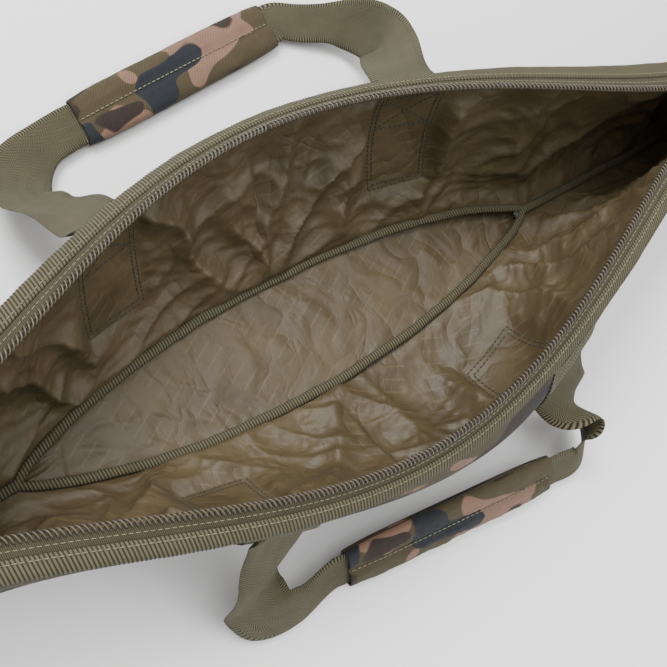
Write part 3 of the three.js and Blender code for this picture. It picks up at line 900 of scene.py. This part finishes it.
def handle_frame(name, side):
    """The grip's middle (x, outwards) and half-length, from the frame."""
    low, high = node_box(f"{name}_handle_grip_cover")
    middle = (low + high) / 2
    return middle[0], abs(middle[1]), (high[0] - low[0]) / 2


def make_handle(name, side):
    grip_x, grip_y, half_length = handle_frame(name, side)
    lie = HANDLES[name]

    def leg(toward, points):
        reaches = [toward * reach for reach in (half_length + 9, half_length, half_length * 0.6)]
        return points + [(grip_x + r, grip_y + r * lie["drift"], lie["height"]) for r in reaches]

    route = np.array(leg(-1, lie["butt"]) + leg(1, lie["tip_end"])[::-1]) * [1, side, 1]
    centre, even = smooth_route(route, 420)
    tangent = np.gradient(centre, axis=0)
    tangent /= np.linalg.norm(tangent, axis=1, keepdims=True)
    t = np.linspace(0, 1, len(centre))
    from_end = np.minimum(t, 1 - t) * 2
    turn = ease((from_end - 0.10) / 0.42) * math.pi / 2
    tip = lie["tip"] * np.sin(turn) + lie["swing"] * np.sin(2 * turn)
    toward = np.where(t < 0.5, 1.0, -1.0)
    width = np.stack([
        toward * np.cos(turn), -side * np.sin(turn) * np.cos(tip), np.sin(turn) * np.sin(tip),
    ], axis=1)
    width -= tangent * np.einsum("ij,ij->i", width, tangent)[:, None]
    width /= np.linalg.norm(width, axis=1, keepdims=True)
    thick = np.cross(tangent, width)
    gathered = ease((from_end - 0.42) / 0.16)
    half = WEBBING_WIDTH / 2 * (1 - 0.28 * gathered)
    across = np.linspace(-1, 1, 15)
    cup = 3.2 * np.sin(np.pi * np.clip(from_end / 0.6, 0, 1)) * (1 + 0.5 * ripple(t * 9, side * 3.0))
    upper = [
        centre + width * (half * a)[:, None] + thick * ((1 - a * a) * cup)[:, None] for a in across
    ]
    edge = np.sqrt(np.clip(1 - np.abs(across) ** 10, 0.04, 1)) * 1.05
    rings = np.stack(
        [point + thick * e for point, e in zip(upper, edge)]
        + [point - thick * e for point, e in zip(upper[::-1], edge[::-1])], axis=1)
    span = np.concatenate([across, across[::-1]]) * WEBBING_WIDTH / 2
    uv = np.stack(np.broadcast_arrays(even[:, None], span[None, :]), axis=-1)
    strap = tube(f"{name}_handle_strap", rings, uv, WEBBING)
    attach(strap, f"{name}_handle")
    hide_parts(f"{name}_handle_webbing")
    make_grip(name, side, grip_x, grip_y, half_length)


GRIP_HALF_WIDTH, GRIP_HALF_HEIGHT = 18.8, 6.3
COVER_THICKNESS = 1.5
SEAM_DEPTH = 1.5        # how far the centre stitches lie below the cover's top


def grip_section(angle, half_width, half_height):
    """A soft flat oval: a superellipse, as (across, up)."""
    c, s = np.cos(angle), np.sin(angle)
    return half_width * np.sign(c) * np.abs(c) ** 0.55, half_height * np.sign(s) * np.abs(s) ** 0.75


def make_grip(name, side, grip_x, grip_y, half_length):
    lie = HANDLES[name]

    def placed(t, across, up):
        """Grip coordinates: t along, across towards the bag, up from its middle."""
        drift = grip_y + t * half_length * lie["drift"]
        inward = across * math.cos(lie["tip"]) - up * math.sin(lie["tip"])
        rise = across * math.sin(lie["tip"]) + up * math.cos(lie["tip"])
        x, y, z = grip_x + t * half_length, side * (drift - inward), lie["height"] + rise
        return np.stack(np.broadcast_arrays(x, y, z), axis=-1)

    along = np.linspace(-1, 1, 111)
    angle = np.arange(72) / 72 * 2 * math.pi

    def rings(inset, low, high):
        t = along[(along >= low) & (along <= high)][:, None]
        taper = 1 - 0.10 * np.abs(t) ** 6
        across, up = grip_section(
            angle[None, :], GRIP_HALF_WIDTH - inset, GRIP_HALF_HEIGHT - inset)
        across, up = across * taper, up * (1 - 0.22 * np.abs(t) ** 5)
        channel = np.exp(-(across / 1.8) ** 2) * (up > 0) * 2.6
        beside = np.exp(-((np.abs(across) - 3) / 3) ** 2)
        pucker = 0.35 * np.sin(t * half_length / 3.4 * math.pi) * beside
        wrinkle = 0.55 * ripple(t * 7 + side, across / 11) + 0.3 * ripple(t * 19, across / 5 + side * 4)
        up = up - channel + np.where(up > 0, pucker + wrinkle, 0)
        return placed(t, across, up), across

    outer, across = rings(0.0, -1, 1)
    inner, _ = rings(COVER_THICKNESS, -1, 1)
    rows, columns = outer.shape[:2]
    count = rows * columns
    faces = grid_faces(rows, columns, wrap=True)
    faces += grid_faces(rows, columns, start=count, wrap=True, flip=True)
    for row in (0, rows - 1):
        for j in range(columns):
            a, b = row * columns + j, row * columns + (j + 1) % columns
            quad = (a, b, b + count, a + count)
            faces.append(quad[::-1] if row == 0 else quad)
    points = np.concatenate([outer.reshape(-1, 3), inner.reshape(-1, 3)])
    girth = np.cumsum(np.linalg.norm(np.diff(outer[0], axis=0, prepend=outer[0][:1]), axis=1))
    uv = np.stack([points[:, 0], np.tile(girth, 2 * rows)], axis=1)
    cover = make_object(f"{name}_grip_cover", points, faces, uv, GRIP_CAMO)
    if piece_is_inside_out(cover):
        cover.data.flip_normals()
    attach(cover, f"{name}_handle")
    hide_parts(f"{name}_handle_grip_cover")
    ring, _ = rings(COVER_THICKNESS + 0.2, -0.965, 0.965)
    pad = tube(f"{name}_grip_padding", ring, ring[..., :2], FOAM)
    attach(pad, f"{name}_handle")
    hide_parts(f"{name}_handle_grip_pad")
    t = np.linspace(-0.98, 0.98, 220)
    top = GRIP_HALF_HEIGHT * (1 - 0.22 * np.abs(t) ** 5)
    seam = placed(t, np.zeros_like(t), top - SEAM_DEPTH)
    stitches = make_stitches(f"{name}_grip_stitches", [seam], THREAD, length=2.8, gap=1.0, radius=0.42)
    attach(stitches, f"{name}_handle")


def make_anchor_patches(name, side):
    """The webbing ends sewn to the outer shell."""
    for end, toward in ENDS:
        middle = toward * ANCHOR_X
        x = middle + np.linspace(-1, 1, 16)[:, None] * WEBBING_WIDTH / 2
        v = np.linspace(0.55, 0.985, 30)[None, :]
        closed = wall_point(x, v, 1.0, side)
        closed[..., 1] += 1.9
        uv = np.stack(np.broadcast_arrays(v * WALL_RUN, x - middle), axis=-1)
        piece = cloth(f"{name}_sewn_webbing_{end}", fold_open(closed, side), uv, 1.8, WEBBING)
        bend(piece, f"{name}_wall", toward)
        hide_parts(f"{name}_handle_anchor_{end}")


# ---- carried-over CAD hardware ----
def dress_hardware():
    for end, _ in ENDS:
        for node in (f"{end}_zip_slider", f"{end}_zip_puller", f"{end}_d_ring"):
            dress(frame["nodes"][node], METAL, 0.5)
        dress(frame["nodes"][f"{end}_ring_tab"], WEBBING, 0.7)


def dress(piece, material, bevel):
    piece.data.materials.clear()
    piece.data.materials.append(material)
    rounding = piece.modifiers.new("rounded", "BEVEL")
    rounding.width = bevel * MM
    rounding.segments = 3
    rounding.limit_method = "ANGLE"


# ---- camera, floor and light ----
# Degrees, metres and, for the focal length, millimetres.
CAMERA_ELEVATION, CAMERA_HEADING, CAMERA_ROLL = 64.67, 8.62, 51.45
CAMERA_TARGET = (-0.0228, -0.0182, 0.100)
CAMERA_DISTANCE = 0.555
FOCAL_LENGTH = 52.2
FLOOR_HALF = 8.0


def make_camera():
    elevation, heading = math.radians(CAMERA_ELEVATION), math.radians(CAMERA_HEADING)
    roll = math.radians(CAMERA_ROLL)
    target = Vector(CAMERA_TARGET)
    level = math.cos(elevation)
    back = Vector((-math.cos(heading) * level, -math.sin(heading) * level, math.sin(elevation)))
    right = (-back).cross(Vector((0, 0, 1))).normalized()
    up = right.cross(-back)
    turned_right = math.cos(roll) * right + math.sin(roll) * up
    turned_up = -math.sin(roll) * right + math.cos(roll) * up
    camera_data = bpy.data.cameras.new("camera")
    camera_data.sensor_width = 36
    camera_data.lens = FOCAL_LENGTH
    camera_data.clip_start = 0.01
    camera = bpy.data.objects.new("camera", camera_data)
    bpy.context.scene.collection.objects.link(camera)
    axes = Matrix((turned_right, turned_up, back)).transposed().to_4x4()
    camera.matrix_world = Matrix.Translation(target + back * CAMERA_DISTANCE) @ axes
    bpy.context.scene.camera = camera


def make_stage():
    mesh = bpy.data.meshes.new("floor")
    corners = ((-1, -1), (1, -1), (1, 1), (-1, 1))
    mesh.from_pydata([(x * FLOOR_HALF, y * FLOOR_HALF, 0) for x, y in corners], [], [(0, 1, 2, 3)])
    shader = Shader("pale_floor", roughness=0.9, specular=0.1)
    mesh.materials.append(shader.finish((0.86, 0.86, 0.86, 1)))
    floor = bpy.data.objects.new("floor", mesh)
    bpy.context.scene.collection.objects.link(floor)
    world = bpy.data.worlds.new("studio")
    world.use_nodes = True
    world.node_tree.nodes["Background"].inputs[0].default_value = (1, 1, 1, 1)
    world.node_tree.nodes["Background"].inputs[1].default_value = 1.0
    bpy.context.scene.world = world
    for name, place, power, size in (
        ("key", (-0.3, 1.1, 1.8), 60, 0.9),
        ("fill", (0.9, -1.3, 1.4), 18, 1.6),
        ("top", (0.1, 0.0, 2.2), 22, 1.2),
    ):
        light = bpy.data.lights.new(name, "AREA")
        light.energy = power
        light.size = size
        lamp = bpy.data.objects.new(name, light)
        lamp.location = place
        lamp.rotation_euler = (-Vector(place)).to_track_quat("-Z", "Y").to_euler()
        bpy.context.scene.collection.objects.link(lamp)


make_camera()
make_stage()
for wall_name, wall_side in SIDES:
    lining_at = make_walls(wall_name, wall_side)
    make_box_stitches(wall_name, wall_side, lining_at)
    make_binding(wall_name, wall_side)
    make_tape(wall_name, wall_side)
    make_coil(wall_name, wall_side)
    make_edge_stitches(wall_name, wall_side)
    make_anchor_patches(wall_name, wall_side)
    make_handle(wall_name, wall_side)
make_gusset()
make_seam_bindings()
make_end_panels()
dress_hardware()
